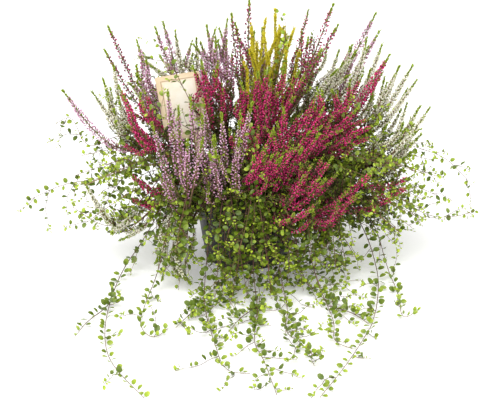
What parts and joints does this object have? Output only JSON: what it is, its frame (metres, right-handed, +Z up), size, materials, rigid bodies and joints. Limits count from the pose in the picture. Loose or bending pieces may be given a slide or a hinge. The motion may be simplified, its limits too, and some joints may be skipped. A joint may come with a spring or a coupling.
{
  "type": "potted heather",
  "caption": "Mixed heather with crimson, lilac, white and gold shoots and trailing wire vine, planted in a plain round nursery pot with a blank plant label.",
  "frame": {"origin": "middle of the pot's flat underside", "axes": "+Z up out of the pot, -Y towards the side that the long vines trail from, +X to the right seen from there"},
  "size_m": [0.558, 0.5296, 0.316],
  "materials": {
    "pot": "near-black moulded polypropylene, satin, faintly speckled",
    "soil": "moist crumbly peat potting soil, fully matte",
    "label": "cream stock with faint mottling and a plain ruled border, matte",
    "heather_crimson": "crimson bud flowers over a brown twig with green scale leaves",
    "heather_lilac": "pale lilac-pink bud flowers over a brown twig with green scale leaves",
    "heather_white": "cream white buds with a lot of fresh green scale leaf",
    "heather_gold": "gold-yellow scale leaves with no flowers",
    "heather_sparse": "dusky crimson bells set wide apart on a thin brown twig",
    "wire_vine": "small fresh green leaves with a soft gloss on a mauve-brown wiry stem"
  },
  "bodies": {
    "root": {"pot": "pot", "soil": "soil", "label": "label", "heather_01_lilac": "heather_lilac", "heather_02_white": "heather_white", "heather_03_crimson": "heather_crimson", "heather_04_sparse": "heather_sparse", "heather_05_lilac": "heather_lilac", "heather_06_lilac": "heather_lilac", "heather_07_white": "heather_white", "heather_08_crimson": "heather_crimson", "heather_09_white": "heather_white", "heather_10_white": "heather_white", "heather_11_lilac": "heather_lilac", "heather_12_lilac": "heather_lilac", "heather_13_lilac": "heather_lilac", "heather_14_crimson": "heather_crimson", "heather_15_crimson": "heather_crimson", "heather_16_crimson": "heather_crimson", "heather_17_crimson": "heather_crimson", "heather_18_crimson": "heather_crimson", "heather_19_crimson": "heather_crimson", "heather_20_lilac": "heather_lilac", "heather_21_sparse": "heather_sparse", "heather_22_gold": "heather_gold", "heather_23_gold": "heather_gold", "heather_24_lilac": "heather_lilac", "heather_25_crimson": "heather_crimson", "heather_26_crimson": "heather_crimson", "heather_27_sparse": "heather_sparse", "heather_28_crimson": "heather_crimson", "heather_29_white": "heather_white", "heather_30_lilac": "heather_lilac", "heather_31_white": "heather_white", "heather_32_crimson": "heather_crimson", "heather_33_crimson": "heather_crimson", "heather_34_white": "heather_white", "heather_35_white": "heather_white", "heather_36_white": "heather_white", "heather_37_crimson": "heather_crimson", "heather_38_lilac": "heather_lilac", "heather_39_white": "heather_white", "heather_40_crimson": "heather_crimson", "wire_vine_01": "wire_vine", "wire_vine_02": "wire_vine", "wire_vine_03": "wire_vine", "wire_vine_04": "wire_vine", "wire_vine_05": "wire_vine", "wire_vine_06": "wire_vine", "wire_vine_07": "wire_vine", "wire_vine_08": "wire_vine", "wire_vine_09": "wire_vine", "wire_vine_10": "wire_vine", "wire_vine_11": "wire_vine", "wire_vine_12": "wire_vine", "wire_vine_13": "wire_vine", "wire_vine_14": "wire_vine", "wire_vine_15": "wire_vine", "wire_vine_16": "wire_vine"}
  },
  "joints": []
}
